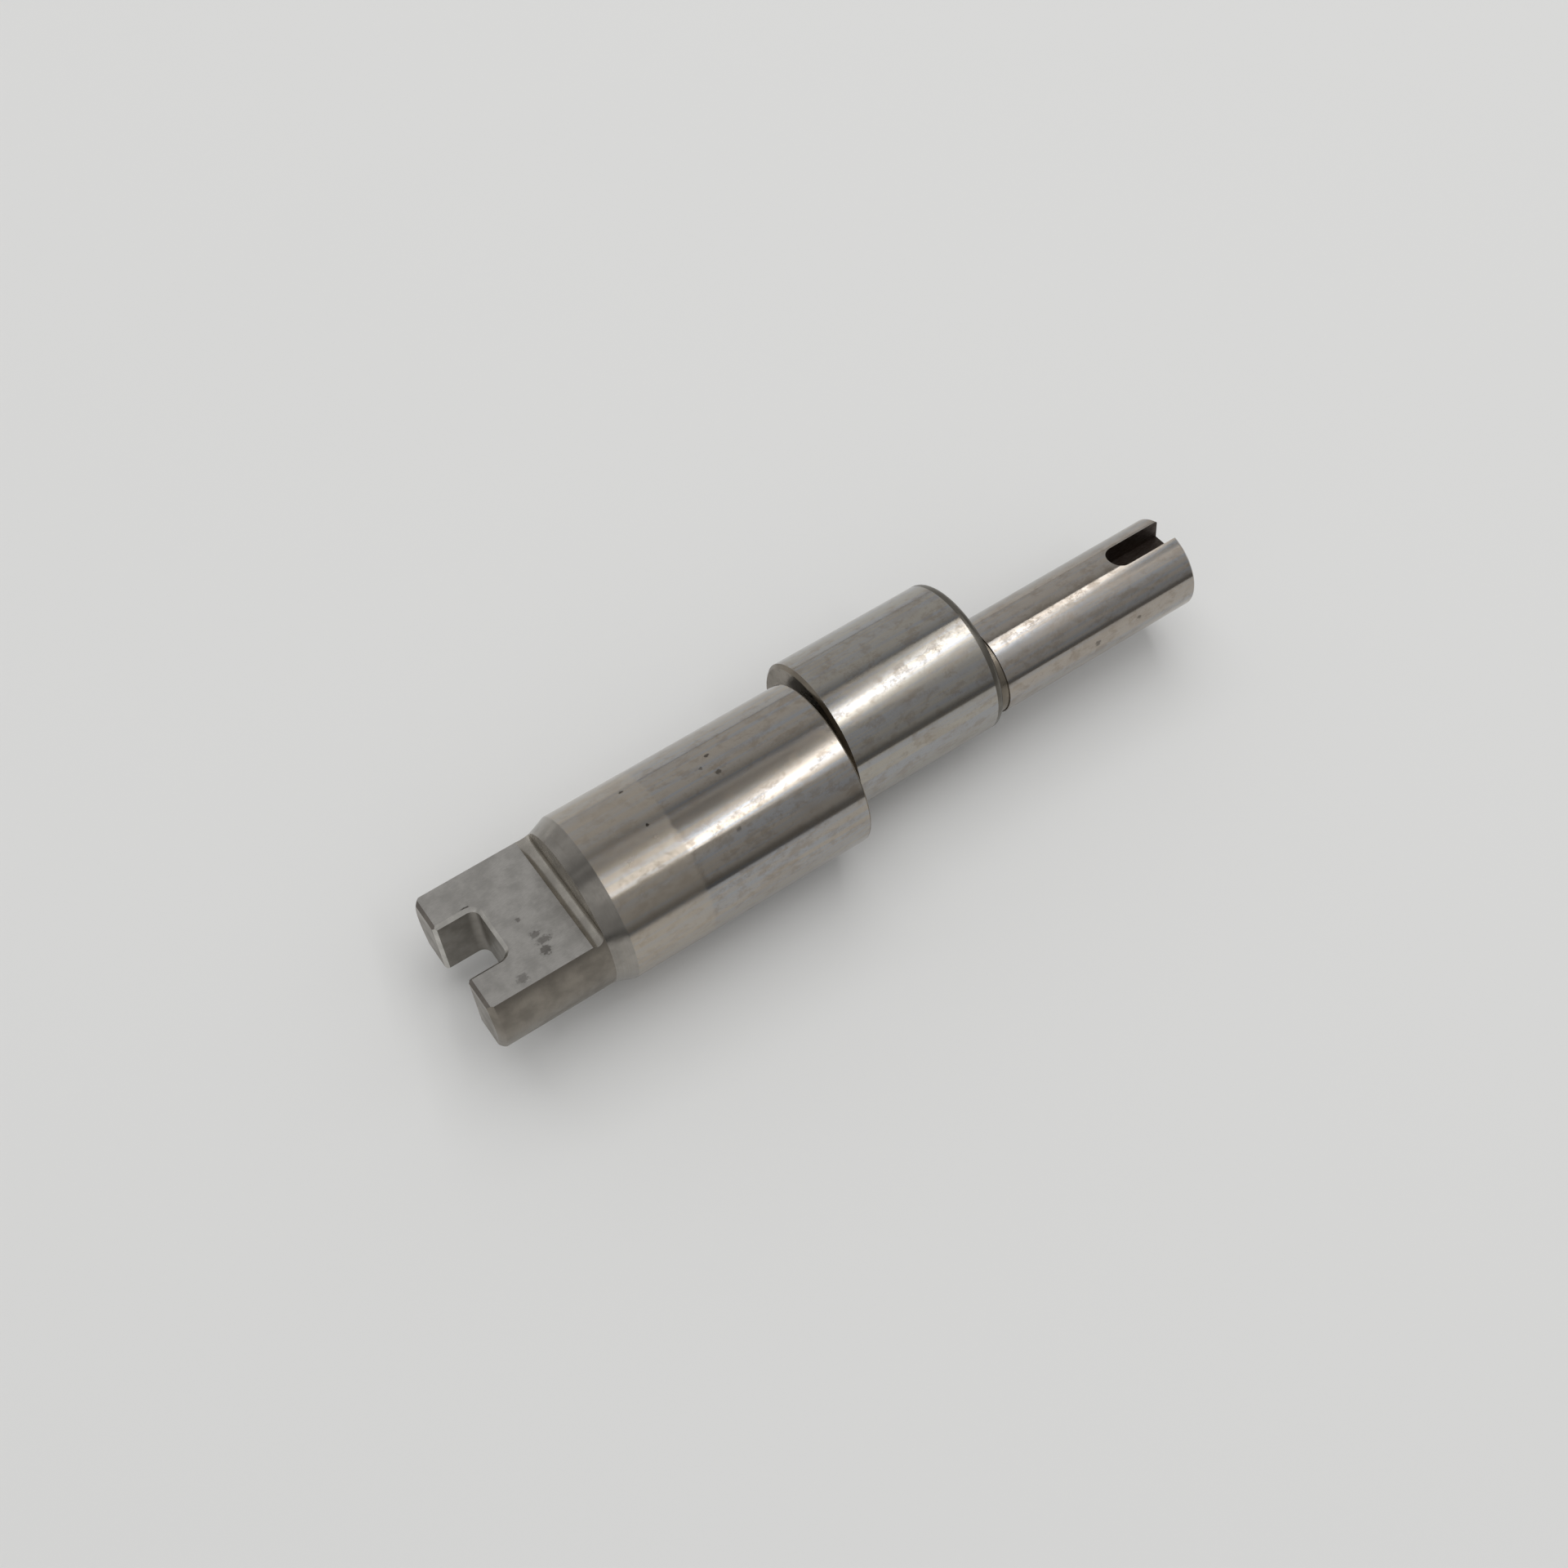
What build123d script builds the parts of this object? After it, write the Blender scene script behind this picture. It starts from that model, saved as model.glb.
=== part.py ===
# Eccentric drive shaft: one turned and milled steel piece, in millimetres.
#
# +X runs along the main axis, from the slotted tongue to the keyed tail. The origin is on that
# axis, in the middle of the main journal. +Z is up with the shaft lying down: it rests on the
# main journal and on the eccentric, which keeps it from rolling.
from build123d import *

import os
from math import asin, cos, degrees, sin, sqrt

# Main journal, which the bearing at the tongue end runs on.
main_dia = 30.0
main_length = 45.3
main_rim = 0.3

# Cone and stub at the tongue end. The bow is the radius that rounds the face of the chamfer.
cone_length = 3.4
stub_dia = 27.5
stub_length = 21.1
stub_chamfer = 1.0
stub_chamfer_bow = 3.0

# Tongue: two flats milled on the stub, each ending in a groove at the foot of its shoulder.
tongue_thickness = 12.6
groove_radius = 1.4
groove_depth = 0.3
tongue_break = 0.6

# Slot through the tongue, open at its end.
slot_width = 10.8
slot_depth = 7.5
slot_corner = 1.6

# Neck that parts the main journal from the eccentric.
neck_dia = 16.5
neck_width = 1.7

# Eccentric journal.
ecc_dia = 28.0
ecc_length = 30.5
ecc_throw = 5.0
ecc_chamfer_main = 0.6
ecc_chamfer_tail = 0.7

# Tail journal, with a grinding relief beside the eccentric and a keyway open at its end. The
# keyway is turned a little from the side the flats face, toward the throw.
tail_dia = 17.0
tail_length = 42.5
tail_chamfer = 0.4
relief_width = 1.5
relief_depth = 0.25
key_width = 5.0
key_depth = 4.2
key_length = 13.0
key_turn = 3.0

# Stations along the main axis.
main_start = -main_length / 2
main_end = main_length / 2
shoulder = main_start - cone_length
tongue_end = shoulder - stub_length
slot_root = tongue_end + slot_depth
ecc_start = main_end + neck_width
ecc_end = ecc_start + ecc_length
tail_end = ecc_end + tail_length

# Lying down, the shaft has turned until the low side of the eccentric is level with the low
# side of the main journal, so the throw points to +Y and a little down.
ecc_drop = (main_dia - ecc_dia) / 2
lie_angle = asin(min(1.0, ecc_drop / ecc_throw))
throw_dir = Vector(0, cos(lie_angle), -sin(lie_angle))
flats_dir = Vector(0, sin(lie_angle), cos(lie_angle))

# flats_up lies square to the direction that the flats face, and side_on holds that direction
# and the main axis. ecc_side_on is side_on moved to the eccentric's centre line. keyway_up is
# flats_up turned to the keyway.
flats_up = Plane(origin=(0, 0, 0), x_dir=(1, 0, 0), z_dir=flats_dir)
keyway_up = flats_up.rotated((-key_turn, 0, 0))
side_on = Plane(origin=(0, 0, 0), x_dir=(1, 0, 0), z_dir=-throw_dir)
ecc_side_on = Plane(origin=throw_dir * ecc_throw + (ecc_start, 0, 0), x_dir=(1, 0, 0), z_dir=-throw_dir)

flat_height = tongue_thickness / 2
groove_center_x = shoulder - groove_radius
groove_center_z = flat_height - groove_depth + groove_radius
groove_reach = sqrt(groove_radius**2 - (groove_radius - groove_depth) ** 2)
flat_end = groove_center_x - groove_reach
clear = main_dia


def borders_slot(edge):
    """Whether an edge lies on one of the flats, along a wall or a corner of the slot."""
    middle = edge.center()
    on_flat = abs(abs(middle.dot(flats_dir)) - flat_height) < 1e-4
    return on_flat and middle.X < slot_root + 1e-4 and abs(middle.dot(throw_dir)) < slot_width / 2 + 1e-4


with BuildPart() as shaft:
    # Stub, cone and main journal, turned about the main axis.
    with BuildSketch(Plane.XZ):
        with BuildLine():
            nose = Line((tongue_end, 0), (tongue_end, stub_dia / 2 - stub_chamfer))
            bow = RadiusArc(nose @ 1, (tongue_end + stub_chamfer, stub_dia / 2), stub_chamfer_bow)
            Polyline(
                bow @ 1,
                (shoulder, stub_dia / 2),
                (main_start, main_dia / 2),
                (main_end - main_rim, main_dia / 2),
                (main_end, main_dia / 2 - main_rim),
                (main_end, 0),
                nose @ 0,
            )
        make_face()
    revolve(axis=Axis.X)

    # The neck, on the main axis too. It carries on into the eccentric.
    with BuildSketch(Plane.YZ.offset(main_end)):
        Circle(neck_dia / 2)
    extrude(amount=neck_width + ecc_length / 2)

    # The eccentric, turned about its own centre line. Its chamfers run out on the neck and the
    # relief, where its low side comes close to them.
    with BuildSketch(ecc_side_on):
        Rectangle(ecc_length, ecc_dia / 2, align=(Align.MIN, Align.MIN))
        rims = vertices().group_by(Axis((0, 0, 0), flats_dir))[-1].sort_by(Axis.X)
        chamfer(rims[0], ecc_chamfer_main)
        rims = vertices().group_by(Axis((0, 0, 0), flats_dir))[-1].sort_by(Axis.X)
        chamfer(rims[-1], ecc_chamfer_tail)
    revolve(axis=Axis(ecc_side_on.origin, (1, 0, 0)))

    # Grinding relief and tail journal, back on the main axis and rooted in the eccentric.
    with BuildSketch(Plane.XZ):
        with BuildLine():
            Polyline(
                (ecc_end - ecc_length / 2, 0),
                (ecc_end - ecc_length / 2, tail_dia / 2 - relief_depth),
                (ecc_end + relief_width, tail_dia / 2 - relief_depth),
                (ecc_end + relief_width, tail_dia / 2),
                (tail_end - tail_chamfer, tail_dia / 2),
                (tail_end, tail_dia / 2 - tail_chamfer),
                (tail_end, 0),
                close=True,
            )
        make_face()
    revolve(axis=Axis.X)

    # Both flats, with the radius of the cutter sunk a little below the flat at the shoulder.
    with BuildSketch(side_on):
        with BuildLine():
            flat_line = Line((tongue_end - clear, flat_height), (flat_end, flat_height))
            groove = RadiusArc(flat_line @ 1, (shoulder, groove_center_z), -groove_radius)
            Polyline(
                groove @ 1,
                (shoulder, clear),
                (tongue_end - clear, clear),
                flat_line @ 0,
            )
        make_face()
        mirror(about=Plane.XZ)
    extrude(amount=clear, both=True, mode=Mode.SUBTRACT)

    # The slot, with round corners at its root.
    with BuildSketch(flats_up):
        with Locations(((slot_root + tongue_end - clear) / 2, 0)):
            Rectangle(slot_depth + clear, slot_width)
        fillet(vertices().group_by(Axis.X)[-1], slot_corner)
    extrude(amount=clear, both=True, mode=Mode.SUBTRACT)

    # The milled edges are broken across the end of each prong and round both mouths of the slot.
    prong_ends = faces().filter_by(Axis.X).sort_by(Axis.X)[:2]
    end_edges = prong_ends.edges().filter_by(GeomType.LINE)
    chamfer(end_edges + edges().filter_by(borders_slot), tongue_break)

    # The keyway, with a round inner end.
    with BuildSketch(keyway_up.offset(tail_dia / 2 - key_depth)):
        with Locations((tail_end - key_length + key_width / 2, 0)):
            Circle(key_width / 2)
        with Locations((tail_end, 0)):
            Rectangle(2 * (key_length - key_width / 2), key_width)
    extrude(amount=clear, mode=Mode.SUBTRACT)

shaft.part.label = "shaft"

os.makedirs("parts", exist_ok=True)
export_step(shaft.part, "parts/shaft.step")

print("lie angle", round(degrees(lie_angle), 2), "mass kg", round(shaft.part.volume * 7.85e-6, 3))
print("centre of mass", shaft.part.center(CenterOf.MASS))
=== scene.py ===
from math import asin, cos, pi, radians, sin, sqrt

import bmesh
import bpy
from mathutils import Euler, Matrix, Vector


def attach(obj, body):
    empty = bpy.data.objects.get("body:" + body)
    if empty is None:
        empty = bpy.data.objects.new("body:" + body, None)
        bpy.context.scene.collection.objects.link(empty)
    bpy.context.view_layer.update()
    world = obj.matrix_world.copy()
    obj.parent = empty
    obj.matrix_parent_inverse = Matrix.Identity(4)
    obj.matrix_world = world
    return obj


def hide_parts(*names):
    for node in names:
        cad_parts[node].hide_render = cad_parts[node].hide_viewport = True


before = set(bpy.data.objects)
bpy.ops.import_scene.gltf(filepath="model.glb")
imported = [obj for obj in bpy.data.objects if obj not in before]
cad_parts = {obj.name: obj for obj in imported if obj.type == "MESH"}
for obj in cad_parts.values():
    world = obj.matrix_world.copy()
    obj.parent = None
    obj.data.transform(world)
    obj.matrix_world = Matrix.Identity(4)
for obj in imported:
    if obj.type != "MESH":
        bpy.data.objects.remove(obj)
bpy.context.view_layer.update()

# The shaft's sizes are in millimetres up to the point where they are handed to Blender, which works
# in metres. The studio's are in metres.
MM = 0.001

# Stations along the shaft, from the slotted tongue to the keyed tail.
TONGUE_END = -47.15
SLOT_ROOT = -39.65
SHOULDER = -26.05
MAIN_START = -22.65
MAIN_END = 22.65
ECC_START = 24.35
ECC_RIM = 53.4
ECC_END = 54.85
RELIEF_END = 56.35
TAIL_END = 97.35

# Radii of the turned steps.
STUB = 13.75
MAIN = 15.0
NECK = 8.25
ECC = 14.0
TAIL = 8.5

# The tongue, its slot and the grooves beside the shoulder.
FLAT = 6.3
GROOVE = 1.4
GROOVE_FLOOR = 6.0
FLAT_END = -28.0
SLOT = 5.4
SLOT_CORNER = 1.6

# Widths of the breaks on the edges of the tongue, and how far its long edges are cut back.
BREAK = 0.6
LONG_BREAK = 0.06

# Widths of the breaks on the round edges.
STUB_BREAK = 1.0
MAIN_FRONT_BREAK = 0.08
MAIN_BACK_BREAK = 0.3
ECC_BREAK = 0.6
TAIL_FRONT_BREAK = 0.1
TAIL_BACK_BREAK = 0.4

# The eccentric's rim on the tail's side is rounded over by hand: stations and radii down its slope.
ECC_RIM_SLOPE = [
    (53.8, 13.985),
    (54.1, 13.95),
    (54.3, 13.88),
    (54.5, 13.75),
    (54.7, 13.55),
    (ECC_END, 13.3),
]

# The keyway in the tail.
KEY_FLOOR = 4.3
KEY_START = 84.35
KEY = 2.5

# Lying down, the shaft is turned so that its eccentric and its main journal both touch the floor.
THROW = 5.0
LIE = asin((MAIN - ECC) / THROW)
ECC_CENTRE = (THROW * cos(LIE), -THROW * sin(LIE))
KEY_TURN = radians(3.0)

# How far the milling blocks reach: ahead of the tongue, behind the tail and out past the steel.
AHEAD = -60
BEHIND = 110
CLEAR = 20

# Sides of a round step, how near a corner must be to its place to be picked, how near two corners
# are when they count as one, and the widest angle that is shaded smooth.
SIDES = 384
NEAR = 0.01
DOUBLE = 0.005
SMOOTH_ANGLE = radians(17)


# Modelling ---------------------------------------------------------------------------------------

def mm(*values):
    """A point or a move in metres from millimetres."""
    return Vector(values) * MM


def start_clean():
    """Leaves edit mode with nothing selected, because a new primitive and every operator need that."""
    if bpy.context.object and bpy.context.object.mode != "OBJECT":
        bpy.ops.object.mode_set(mode="OBJECT")
    bpy.ops.object.select_all(action="DESELECT")


def open_up(piece):
    """Opens a piece in edit mode, on its own."""
    start_clean()
    bpy.context.view_layer.objects.active = piece
    piece.select_set(True)
    bpy.ops.object.mode_set(mode="EDIT")


def pick(piece, kind, wanted):
    """Selects the faces, edges or corners of an open piece whose corners, in millimetres, are wanted."""
    bpy.ops.mesh.select_mode(type=kind)
    bpy.ops.mesh.select_all(action="DESELECT")
    mesh = bmesh.from_edit_mesh(piece.data)
    if kind == "VERT":
        for corner in mesh.verts:
            corner.select_set(wanted([corner.co / MM]))
    else:
        for part in mesh.faces if kind == "FACE" else mesh.edges:
            part.select_set(wanted([corner.co / MM for corner in part.verts]))
    mesh.select_flush_mode()
    bmesh.update_edit_mesh(piece.data)


def settle(piece, turn=0.0):
    """Turns a piece about the shaft's axis and puts its place and turn into its mesh."""
    start_clean()
    bpy.context.view_layer.objects.active = piece
    piece.select_set(True)
    bpy.ops.object.transform_apply(location=True, rotation=True, scale=True)
    piece.rotation_euler.x = turn
    bpy.ops.object.transform_apply(location=True, rotation=True, scale=True)


def turned(name, start, radius, steps, centre=(0.0, 0.0)):
    """A turned form: a disc square to the shaft, drawn out and resized from step to step."""
    start_clean()
    bpy.ops.mesh.primitive_circle_add(
        vertices=SIDES,
        radius=radius * MM,
        fill_type="NGON",
        location=mm(start, *centre),
        rotation=(0, pi / 2, 0),
    )
    piece = bpy.context.object
    piece.name = name
    settle(piece)
    open_up(piece)
    bpy.ops.mesh.select_all(action="SELECT")
    x, r = start, radius
    for next_x, next_r in steps:
        bpy.ops.mesh.extrude_region_move(TRANSFORM_OT_translate={"value": mm(next_x - x, 0, 0)})
        bpy.ops.transform.resize(value=(1, next_r / r, next_r / r), center_override=mm(next_x, *centre))
        x, r = next_x, next_r
    bpy.ops.mesh.select_all(action="SELECT")
    bpy.ops.mesh.normals_make_consistent(inside=False)
    bpy.ops.object.mode_set(mode="OBJECT")
    return piece


def break_ring(piece, x, r, width, steps=2, shape=0.5, centre=(0.0, 0.0)):
    """Breaks the round edge of a turned step."""
    def on_ring(corners):
        return all(
            abs(c.x - x) < NEAR and abs(sqrt((c.y - centre[0]) ** 2 + (c.z - centre[1]) ** 2) - r) < NEAR
            for c in corners
        )

    open_up(piece)
    pick(piece, "EDGE", on_ring)
    bpy.ops.mesh.bevel(offset=width * MM, segments=steps, profile=shape, affect="EDGES")
    bpy.ops.object.mode_set(mode="OBJECT")


def block(name, low, high):
    """A milling block between two corners, square to the flats."""
    start_clean()
    middle = [(a + b) / 2 for a, b in zip(low, high)]
    bpy.ops.mesh.primitive_cube_add(
        size=1, location=mm(*middle), scale=[(b - a) * MM for a, b in zip(low, high)]
    )
    piece = bpy.context.object
    piece.name = name
    settle(piece)
    return piece


def round_edges(piece, radius, steps, wanted):
    """Rounds the edges of a block whose two ends are wanted."""
    open_up(piece)
    pick(piece, "EDGE", wanted)
    bpy.ops.mesh.bevel(offset=radius * MM, segments=steps, profile=0.5, affect="EDGES")
    bpy.ops.object.mode_set(mode="OBJECT")


def standing_at(x):
    """A test for the edges of a block that stand square to the flats at one station."""
    def wanted(ends):
        return all(abs(end.x - x) < NEAR for end in ends) and abs(ends[0].y - ends[1].y) < NEAR

    return wanted


def combine(piece, tool, operation):
    """Joins a tool to the piece or cuts the piece with it, and puts the tool away."""
    start_clean()
    bpy.context.view_layer.objects.active = piece
    piece.select_set(True)
    step = piece.modifiers.new("combine", "BOOLEAN")
    step.operation = operation
    step.solver = "EXACT"
    step.material_mode = "TRANSFER"
    step.object = tool
    bpy.ops.object.modifier_apply(modifier=step.name)
    bpy.data.objects.remove(tool, do_unlink=True)


def cut(piece, tool, turn, *finishes):
    """Cuts the piece with a turned milling block that leaves its finishes on the walls."""
    for finish in finishes:
        tool.data.materials.append(finish)
    settle(tool, turn)
    combine(piece, tool, "DIFFERENCE")


# Finishes ----------------------------------------------------------------------------------------

class Nodes:
    """A node tree under construction, with short ways to add its nodes."""

    def __init__(self, tree):
        self.tree = tree

    def node(self, kind, inputs=(), output=0, **settings):
        """Adds a node, sets it up, feeds its inputs with values or links and gives one output."""
        made = self.tree.nodes.new(kind)
        for name, value in settings.items():
            setattr(made, name, value)
        for key, value in dict(inputs).items():
            self.feed(made.inputs[key], value)
        return made.outputs[output]

    def feed(self, socket, value):
        """Links an output to a socket, or sets a plain value."""
        if isinstance(value, bpy.types.NodeSocket):
            self.tree.links.new(value, socket)
        else:
            socket.default_value = value

    def math(self, operation, *values):
        """One sum on values or outputs."""
        return self.node("ShaderNodeMath", dict(enumerate(values)), operation=operation)


class Finish(Nodes):
    """A material under construction, with the patterns that the finishes share."""

    def __init__(self, name):
        self.material = bpy.data.materials.new(name)
        self.material.use_nodes = True
        super().__init__(self.material.node_tree)
        self.shader = self.tree.nodes["Principled BSDF"]

    def place(self, stretch=(1, 1, 1), turn=0.0, centre=(0, 0, 0)):
        """Object coordinates in millimetres, turned about the shaft's axis, centred and stretched."""
        coords = self.node("ShaderNodeTexCoord", output=3)
        turned_to = self.node(
            "ShaderNodeMapping",
            {"Vector": coords, "Scale": (1000, 1000, 1000), "Rotation": (turn, 0, 0),
             "Location": [-c for c in centre]},
        )
        return self.node("ShaderNodeMapping", {"Vector": turned_to, "Scale": stretch})

    def noise(self, place, detail=3.0, rough=0.55, bend=0.0):
        """Cloudy values between 0 and 1."""
        return self.node(
            "ShaderNodeTexNoise",
            {"Vector": place, "Scale": 1.0, "Detail": detail, "Roughness": rough, "Distortion": bend},
        )

    def ramp(self, value, low, high, to_low=0.0, to_high=1.0):
        """Fades from one value to another while the input goes from low to high."""
        return self.node(
            "ShaderNodeMapRange",
            {"Value": value, "From Min": low, "From Max": high, "To Min": to_low, "To Max": to_high},
            interpolation_type="SMOOTHSTEP",
        )

    def mix(self, share, first, second):
        """Blends two colours."""
        made = self.tree.nodes.new("ShaderNodeMix")
        made.data_type = "RGBA"
        self.feed(made.inputs[0], share)
        self.feed(made.inputs[6], first)
        self.feed(made.inputs[7], second)
        return made.outputs[2]

    def spot(self, point, size, turn=0.0):
        """A ragged stain round a point, 1 in its middle and 0 outside."""
        edge, ragged = 0.35, 1.1
        near = self.place(stretch=[1 / s for s in size], turn=turn, centre=point)
        shift = self.noise(self.place(stretch=(2.4, 2.4, 2.4)), detail=5)
        reach = self.node("ShaderNodeVectorMath", {0: near}, output=1, operation="LENGTH")
        ragged_reach = self.math("MULTIPLY_ADD", self.math("SUBTRACT", shift, 0.5), ragged * 2, reach)
        return self.ramp(ragged_reach, 1 - edge, 1 + edge, 1.0, 0.0)

    def done(self, colour, roughness, height, depth):
        """Feeds the shader, with a relief of the given depth in millimetres, and gives the material."""
        self.feed(self.shader.inputs["Base Color"], colour)
        self.feed(self.shader.inputs["Roughness"], roughness)
        self.feed(self.shader.inputs["Metallic"], 1.0)
        relief = self.node("ShaderNodeBump", {"Height": height, "Strength": 1.0, "Distance": depth * MM})
        self.feed(self.shader.inputs["Normal"], relief)
        return self.material


def rgb(red, green, blue):
    """An opaque colour."""
    return (red, green, blue, 1.0)


# Tints of bare steel and of what has settled on it; the blue-grey is a painted reflection.
# Painted reflection: blue-grey streaks along the ground steel stand in for the room mirrored in it.
PAINTED_REFLECTION_BLUE_GREY = rgb(0.36, 0.365, 0.375)
CLOUD_TAN = rgb(0.30, 0.25, 0.20)
RING_BROWN = rgb(0.25, 0.23, 0.20)
PATINA_BROWN = rgb(0.25, 0.20, 0.15)
SPECK_BROWN = rgb(0.16, 0.13, 0.10)
DULL_TAN = rgb(0.50, 0.44, 0.36)
STAIN_BLACK = rgb(0.06, 0.05, 0.04)
OIL_BROWN = rgb(0.22, 0.19, 0.15)
CUTTER_GREY = rgb(0.28, 0.27, 0.25)
PIT_BLACK = rgb(0.07, 0.06, 0.05)


def ground_steel(name, tint, stains, dull_end=None):
    """Ground steel, with fine rings round it, blue-grey streaks along it that paint a reflection, stains and
    perhaps a dull end.

    Each stain has a place, a size along x, y and z, and a strength. The dull end lies on the
    tongue's side of one station.
    """
    f = Finish(name)
    rings = f.noise(f.place(stretch=(14, 0.03, 0.03)), detail=4, rough=0.7)
    streaks = f.noise(f.place(stretch=(0.02, 1.1, 1.1)), detail=3)
    clouds = f.noise(f.place(stretch=(0.12, 0.2, 0.2)), detail=6, rough=0.65)
    # Painted reflection: blue-grey streaks along the shaft stand in for the room mirrored in the ground
    # steel.
    colour = f.mix(f.ramp(streaks, 0.4, 0.65), rgb(*tint), PAINTED_REFLECTION_BLUE_GREY)
    colour = f.mix(f.ramp(clouds, 0.52, 0.62, 0.0, 0.25), colour, CLOUD_TAN)
    colour = f.mix(f.ramp(rings, 0.3, 0.7, 0.0, 0.12), colour, RING_BROWN)
    patina = f.noise(f.place(stretch=(0.35, 0.5, 0.5)), detail=9, rough=0.72)
    stained = f.ramp(patina, 0.48, 0.62)
    colour = f.mix(f.math("MULTIPLY", stained, 0.4), colour, PATINA_BROWN)
    specks = f.noise(f.place(stretch=(3.5, 3.5, 3.5)), detail=3)
    colour = f.mix(f.ramp(specks, 0.62, 0.74, 0.0, 0.35), colour, SPECK_BROWN)
    roughness = f.math("MULTIPLY_ADD", rings, 0.04, f.ramp(clouds, 0.4, 0.8, 0.10, 0.14))
    roughness = f.math("MULTIPLY_ADD", stained, 0.04, roughness)
    if dull_end is not None:
        along = f.node("ShaderNodeSeparateXYZ", {0: f.place()})
        edge = f.math("MULTIPLY_ADD", clouds, 1.2, along)
        dull = f.ramp(edge, dull_end, dull_end + 0.7, 1.0, 0.0)
        roughness = f.math("MULTIPLY_ADD", dull, 0.09, roughness)
        colour = f.mix(f.math("MULTIPLY", dull, 0.35), colour, DULL_TAN)
    for point, size, strength in stains:
        colour = f.mix(f.math("MULTIPLY", f.spot(point, size), strength), colour, STAIN_BLACK)
    lengthwise = f.node("ShaderNodeCombineXYZ", {0: 1.0, 1: 0.0, 2: 0.0})
    f.feed(f.shader.inputs["Tangent"], lengthwise)
    f.feed(f.shader.inputs["Anisotropic"], 0.8)
    return f.done(colour, roughness, rings, 0.0003)


def turned_steel(name, tint, roughness):
    """Turned steel left as it came from the lathe, dulled by oil."""
    f = Finish(name)
    rings = f.noise(f.place(stretch=(9, 0.05, 0.05)), detail=5, rough=0.75)
    clouds = f.noise(f.place(stretch=(0.25, 0.25, 0.25)), detail=5)
    colour = f.mix(f.ramp(clouds, 0.35, 0.7), rgb(*tint), rgb(*[c * 0.72 for c in tint]))
    colour = f.mix(f.ramp(rings, 0.3, 0.7, 0.0, 0.25), colour, OIL_BROWN)
    spread = f.ramp(clouds, 0.3, 0.7, roughness - 0.06, roughness + 0.08)
    return f.done(colour, spread, rings, 0.003)


def milled_steel(name, tint, roughness, stains):
    """Milled steel with crossing cutter marks, fine grain and stains placed square to the flats."""
    f = Finish(name)
    clouds = f.noise(f.place(stretch=(0.35, 0.35, 0.35)), detail=6)
    marks = f.noise(f.place(stretch=(1.2, 6.0, 3.0), turn=LIE), detail=5, rough=0.7, bend=0.6)
    grain = f.noise(f.place(stretch=(5, 5, 5)), detail=4)
    colour = f.mix(f.ramp(clouds, 0.35, 0.7), rgb(*tint), rgb(*[c * 0.8 for c in tint]))
    colour = f.mix(f.ramp(marks, 0.35, 0.7, 0.0, 0.25), colour, CUTTER_GREY)
    for point, size, strength in stains:
        spot = f.spot(point, size, turn=LIE)
        colour = f.mix(f.math("MULTIPLY", spot, strength), colour, PIT_BLACK)
    spread = f.ramp(clouds, 0.3, 0.7, roughness - 0.05, roughness + 0.08)
    height = f.math("MULTIPLY_ADD", marks, 0.6, grain)
    return f.done(colour, spread, height, 0.004)


main_ground = ground_steel("main_journal_ground", (0.41, 0.37, 0.32), [
    ((-11.5, 8.0, 12.7), (0.35, 0.35, 0.35), 0.9),
    ((-11.6, 0.0, 15.0), (0.3, 0.3, 0.3), 0.9),
    ((3.2, 5.6, 13.9), (0.4, 0.3, 0.3), 0.8),
    ((3.0, 1.8, 14.9), (0.5, 0.4, 0.4), 0.7),
    ((1.0, 4.0, 14.4), (0.3, 0.3, 0.3), 0.6),
    ((0.7, -7.6, 12.9), (0.4, 0.4, 0.4), 0.5),
], dull_end=-7.9)
ecc_ground = ground_steel("eccentric_ground", (0.41, 0.385, 0.34), [])
tail_ground = ground_steel("tail_ground", (0.42, 0.38, 0.335), [
    ((75.5, -8.0, 2.9), (0.5, 0.5, 0.5), 0.6),
    ((84.6, -7.8, 3.3), (0.4, 0.4, 0.4), 0.6),
])
stub_turned = turned_steel("stub_turned", (0.27, 0.245, 0.21), 0.34)
cone_turned = turned_steel("cone_turned", (0.37, 0.35, 0.32), 0.17)
# Painted dark reflection: a near-black tint on the eccentric's rounded rim stands in for the dark band that
# the rim reflects.
rim_painted_dark_reflection = turned_steel("rim_painted_dark_reflection", (0.17, 0.16, 0.14), 0.30)
face_turned = turned_steel("faces_turned", (0.24, 0.21, 0.17), 0.28)
flat_milled = milled_steel("flats_milled", (0.56, 0.54, 0.51), 0.42, [
    ((-34.5, -4.8, 6.3), (0.8, 0.6, 1.0), 0.5),
    ((-33.8, -6.3, 6.3), (1.3, 0.7, 1.0), 0.5),
    ((-34.5, -8.1, 6.3), (0.8, 0.9, 1.0), 0.6),
    ((-40.0, -10.5, 6.3), (1.0, 0.8, 1.0), 0.4),
    ((-35.3, -0.8, 6.3), (0.4, 0.4, 1.0), 0.5),
    ((-41.2, 5.95, 6.3), (0.8, 0.3, 1.0), 0.8),
])
slot_milled = milled_steel("slot_milled", (0.30, 0.28, 0.25), 0.40, [])
groove_milled = milled_steel("groove_milled", (0.50, 0.47, 0.42), 0.24, [])
break_dark = milled_steel("end_breaks", (0.20, 0.18, 0.16), 0.35, [])
# Partly painted highlight: the breaks are real cut facets that catch the light, and their tint, lighter than
# the flats', paints part of their bright edge line.
breaks_partly_painted_highlight = milled_steel("bright_breaks_partly_painted_highlight", (0.62, 0.60, 0.56), 0.30, [])
# Painted shade: the keyway's walls and floor are tinted near black for the shade that fills the narrow slot.
keyway_painted_shade = milled_steel("keyway_milled_painted_shade", (0.07, 0.05, 0.04), 0.5, [])


# The shaft ---------------------------------------------------------------------------------------

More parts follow.
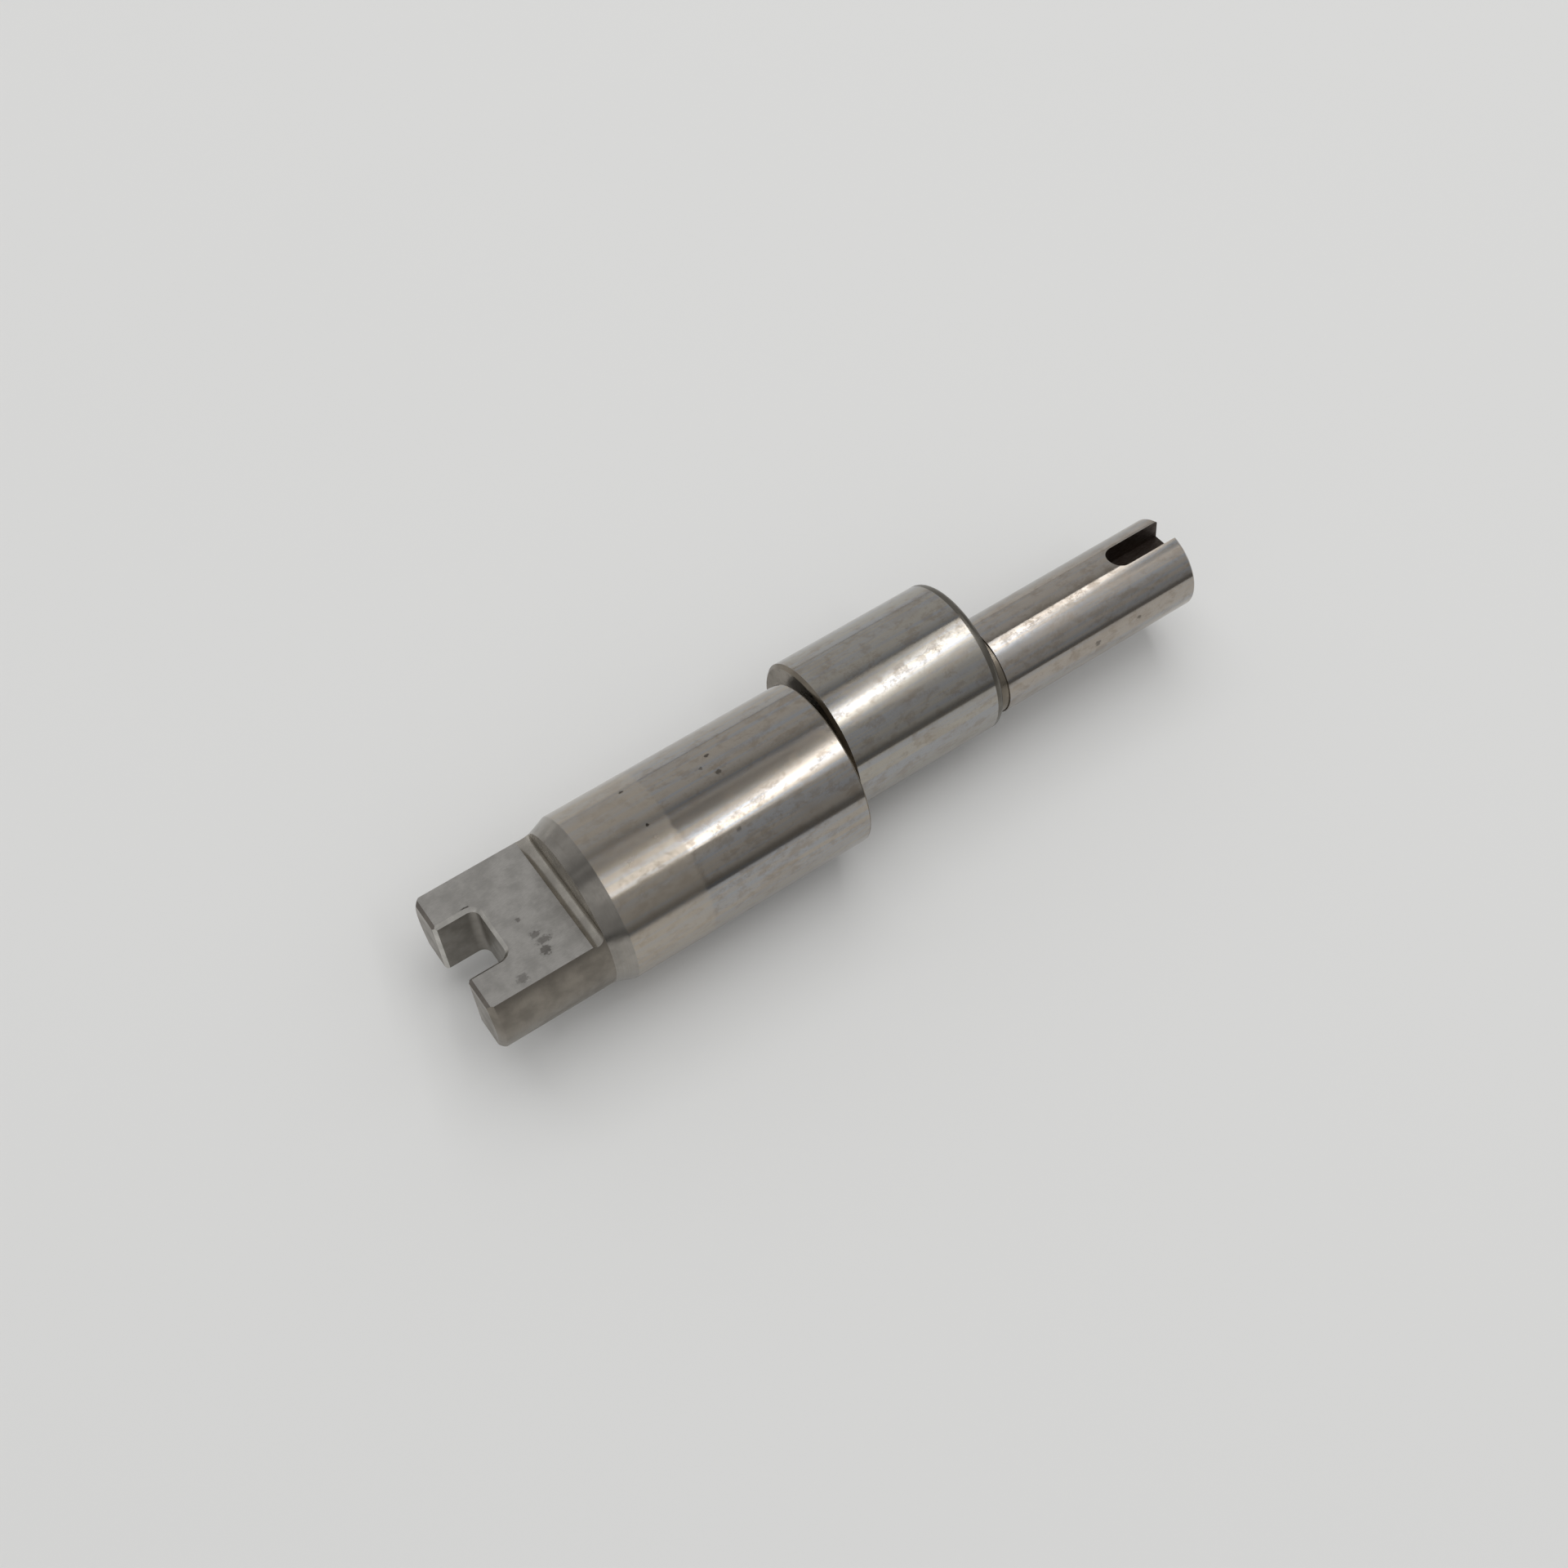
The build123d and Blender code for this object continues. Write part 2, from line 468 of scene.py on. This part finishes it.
def blank():
    """Both turnings, joined: the shaft on its main axis and the eccentric beside it."""
    shaft = turned("shaft_body", TONGUE_END, STUB, [
        (SHOULDER, STUB),
        (MAIN_START, MAIN),
        (MAIN_END, MAIN),
        (MAIN_END, NECK),
        (RELIEF_END, NECK),
        (RELIEF_END, TAIL),
        (TAIL_END, TAIL),
    ])
    break_ring(shaft, TONGUE_END, STUB, STUB_BREAK, steps=4, shape=0.31)
    break_ring(shaft, MAIN_START, MAIN, MAIN_FRONT_BREAK)
    break_ring(shaft, MAIN_END, MAIN, MAIN_BACK_BREAK, steps=3)
    break_ring(shaft, RELIEF_END, TAIL, TAIL_FRONT_BREAK)
    break_ring(shaft, TAIL_END, TAIL, TAIL_BACK_BREAK, steps=3, shape=0.35)
    rim = [(ECC_RIM, ECC), *ECC_RIM_SLOPE]
    eccentric = turned("eccentric", ECC_START, ECC, rim, centre=ECC_CENTRE)
    break_ring(eccentric, ECC_START, ECC, ECC_BREAK, steps=2, shape=0.3, centre=ECC_CENTRE)
    combine(shaft, eccentric, "UNION")
    return shaft


def mill_tongue(shaft):
    """Both flats with their grooves, the slot, and the breaks on their edges."""
    lean = (pi / 2 - asin(FLAT / STUB)) / 2
    edge_height = STUB * cos(lean) - LONG_BREAK
    bar_half = 2
    for side in (0.0, pi):
        flat = block("flat", (AHEAD, -CLEAR, FLAT), (FLAT_END, CLEAR, CLEAR))
        cut(shaft, flat, side - LIE, flat_milled)
        groove = block("groove", (SHOULDER - 2 * GROOVE, -CLEAR, GROOVE_FLOOR), (SHOULDER, CLEAR, CLEAR))
        round_edges(groove, GROOVE, 10, lambda ends: all(c.z < FLAT for c in ends) and ends[0].x == ends[1].x)
        cut(shaft, groove, side - LIE, groove_milled)
        for way in (-lean, lean):
            low = (AHEAD, -bar_half, edge_height)
            high = (SHOULDER - GROOVE, bar_half, edge_height + 2 * bar_half)
            cut(shaft, block("long_edge", low, high), side - LIE + way, breaks_partly_painted_highlight)
    cut(shaft, slot_tool(), -LIE, slot_milled, breaks_partly_painted_highlight)
    for turn in (0.0, pi):
        cut(shaft, edge_tool((TONGUE_END, 0, FLAT), "y", 2 * CLEAR), turn - LIE, break_dark)
        cut(shaft, edge_tool((TONGUE_END, SLOT, 0), "z", 2 * FLAT - BREAK), turn - LIE, breaks_partly_painted_highlight)


def slot_tool():
    """The slot, rounded at its root, with both mouths flared by the edge break."""
    tool = block("slot", (AHEAD, -SLOT, -FLAT - BREAK), (SLOT_ROOT, SLOT, FLAT + BREAK))
    round_edges(tool, SLOT_CORNER, 10, standing_at(SLOT_ROOT))
    open_up(tool)
    for side in (-1, 1):
        bpy.ops.mesh.select_all(action="SELECT")
        bpy.ops.mesh.bisect(plane_co=mm(0, 0, side * (FLAT - BREAK)), plane_no=(0, 0, 1))
    pick(tool, "FACE", lambda corners: all(abs(c.z) > FLAT for c in corners))
    bpy.ops.mesh.delete(type="ONLY_FACE")
    pick(tool, "VERT", lambda corners: abs(corners[0].z) > FLAT)
    bpy.ops.transform.shrink_fatten(value=2 * BREAK * MM, use_even_offset=True)
    for side in (-1, 1):
        pick(tool, "EDGE", lambda ends: all(c.z * side > FLAT for c in ends))
        bpy.ops.mesh.edge_face_add()
    bpy.ops.mesh.select_all(action="SELECT")
    bpy.ops.mesh.normals_make_consistent(inside=False)
    bpy.ops.object.mode_set(mode="OBJECT")
    for face in tool.data.polygons:
        flared = 0.5 < abs(face.normal.z) < 0.9
        face.material_index = int(flared)
    return tool


def edge_tool(edge, along, length):
    """A bar turned by 45 degrees whose face takes the break off one edge of the tongue."""
    half = 2.0
    lift = (half - BREAK / sqrt(2)) / sqrt(2)
    if along == "y":
        tool = block("edge_break", (-half, -length / 2, -half), (half, length / 2, half))
        tool.rotation_euler.y = radians(45)
        tool.location = mm(edge[0] - lift, edge[1], edge[2] + lift)
    else:
        tool = block("edge_break", (-half, -half, -length / 2), (half, half, length / 2))
        tool.rotation_euler.z = radians(45)
        tool.location = mm(edge[0] - lift, edge[1] - lift, edge[2])
    return tool


def mill_keyway(shaft):
    """The keyway, open at the tail's end and round at the other."""
    tool = block("keyway", (KEY_START, -KEY, KEY_FLOOR), (BEHIND, KEY, CLEAR))
    round_edges(tool, KEY - NEAR, 12, standing_at(KEY_START))
    # The keyway's near-black tint is painted shade.
    cut(shaft, tool, -LIE - KEY_TURN, keyway_painted_shade)


def give_finishes(shaft):
    """Gives each turned step its own finish, from the tongue's end on."""
    steps = [
        (SHOULDER, stub_turned),
        (MAIN_START + 2 * NEAR, cone_turned),
        (MAIN_END - MAIN_BACK_BREAK - NEAR, main_ground),
        (ECC_START + ECC_BREAK + NEAR, face_turned),
        (ECC_RIM, ecc_ground),
        (ECC_END - NEAR, rim_painted_dark_reflection),
        (RELIEF_END + NEAR, face_turned),
        (TAIL_END + NEAR, tail_ground),
    ]
    finishes = [stub_turned, cone_turned, main_ground, face_turned, ecc_ground, rim_painted_dark_reflection, tail_ground]
    shaft.data.materials.clear()
    for finish in finishes:
        shaft.data.materials.append(finish)
    for face in shaft.data.polygons:
        x = face.center.x / MM
        face.material_index = finishes.index(next(finish for end, finish in steps if x < end))


def smooth(piece):
    """Merges doubles, turns the normals outward and shades smooth across small angles only."""
    open_up(piece)
    bpy.ops.mesh.select_all(action="SELECT")
    bpy.ops.mesh.remove_doubles(threshold=DOUBLE * MM)
    bpy.ops.mesh.normals_make_consistent(inside=False)
    bpy.ops.object.mode_set(mode="OBJECT")
    bpy.ops.object.shade_smooth_by_angle(angle=SMOOTH_ANGLE)
    step = piece.modifiers.new("normals", "WEIGHTED_NORMAL")
    step.keep_sharp = True
    bpy.ops.object.modifier_apply(modifier=step.name)


shaft = blank()
give_finishes(shaft)
mill_tongue(shaft)
mill_keyway(shaft)
smooth(shaft)
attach(shaft, "root")
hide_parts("shaft")


# The studio --------------------------------------------------------------------------------------

# The floor lies a hair under the shaft, so that the two never share a plane.
FLOOR_HEIGHT = -0.01505
FLOOR_SIZE = 4

# The strip lamp hangs high beyond the tail and gives the long highlights. Its power is worked out
# from its level and its area.
STRIP_SPOT = (0.493, -0.171)
STRIP_HEIGHT = 1.2
STRIP_SIZE = (0.12, 1.4)
STRIP_LEVEL = 4.4
STRIP_TURN = -asin(0.321)

# The fill lamp softens the shadow and isn't seen in the steel.
FILL_PLACE = (0.1, 0.5, 1.6)
FILL_SIZE = (1.6, 1.6)
FILL_POWER = 12.5

# Levels of the room, which the steel mirrors, round the shaft's axis: 0 is the horizon on the
# camera's side, 0.5 is overhead and 1 is the horizon behind the shaft.
ROOM_LEVELS = [
    (0.0, 0.12), (0.04, 0.14), (0.08, 0.31), (0.28, 0.45), (0.36, 0.64), (0.45, 0.68), (0.50, 0.26),
    (0.55, 0.24), (0.58, 0.36), (0.62, 0.23), (0.70, 0.46), (0.85, 0.54), (1.0, 0.56),
]

# The camera's place in metres, its turn in degrees and its lens in millimetres.
CAMERA_PLACE = (-0.08567876, -0.11593213, 0.31093808)
CAMERA_TURN = (26.106256, -3.387642, -34.218246)
CAMERA_LENS = 47.7924


def make_floor():
    """A plain pale table top under the shaft."""
    start_clean()
    bpy.ops.mesh.primitive_plane_add(size=FLOOR_SIZE, location=(0, 0, FLOOR_HEIGHT))
    floor = bpy.context.object
    floor.name = "floor"
    f = Finish("table_top")
    f.feed(f.shader.inputs["Base Color"], rgb(0.78, 0.78, 0.77))
    f.feed(f.shader.inputs["Roughness"], 0.75)
    floor.data.materials.append(f.material)


def make_lamp(name, place, aim, size, power, glossy=True, turn=0.0):
    """A rectangular lamp that faces a point, turned about its own beam."""
    lamp = bpy.data.lights.new(name, "AREA")
    lamp.shape = "RECTANGLE"
    lamp.size, lamp.size_y = size
    lamp.energy = power
    holder = bpy.data.objects.new(name, lamp)
    bpy.context.scene.collection.objects.link(holder)
    holder.location = place
    facing = (Vector(aim) - Vector(place)).to_track_quat("-Z", "Y")
    holder.rotation_euler = (facing.to_matrix() @ Euler((0, 0, turn)).to_matrix()).to_euler()
    holder.visible_glossy = glossy


def make_world():
    """A soft grey room that changes its level only round the shaft's axis."""
    world = bpy.data.worlds.new("room")
    bpy.context.scene.world = world
    world.use_nodes = True
    room = Nodes(world.node_tree)
    toward = room.node("ShaderNodeSeparateXYZ", {0: room.node("ShaderNodeTexCoord")}).node.outputs
    angle = room.math("ARCTAN2", toward[2], room.math("MULTIPLY", toward[1], -1.0))
    sky = room.node("ShaderNodeValToRGB", {0: room.math("DIVIDE", angle, pi)})
    stops = sky.node.color_ramp.elements
    stops[0].position = ROOM_LEVELS[0][0]
    stops[1].position = ROOM_LEVELS[-1][0]
    for place, level in ROOM_LEVELS[1:-1]:
        stops.new(place)
    for stop, (place, level) in zip(stops, ROOM_LEVELS):
        stop.color = rgb(level, level, level)
    room.feed(room.tree.nodes["Background"].inputs[0], sky)


def make_camera():
    """The camera, which looks down from above the tongue."""
    camera = bpy.data.objects.new("camera", bpy.data.cameras.new("camera"))
    bpy.context.scene.collection.objects.link(camera)
    camera.location = CAMERA_PLACE
    camera.rotation_euler = [radians(turn) for turn in CAMERA_TURN]
    camera.data.lens = CAMERA_LENS
    camera.data.sensor_width = 36
    camera.data.clip_start = 0.01
    bpy.context.scene.camera = camera


make_floor()
make_world()
make_lamp("strip", (*STRIP_SPOT, STRIP_HEIGHT), (*STRIP_SPOT, 0), STRIP_SIZE,
          STRIP_LEVEL * pi * STRIP_SIZE[0] * STRIP_SIZE[1], turn=STRIP_TURN)
make_lamp("fill", FILL_PLACE, (0, 0, 0), FILL_SIZE, FILL_POWER, glossy=False)
make_camera()
bpy.context.scene.view_settings.view_transform = "Standard"
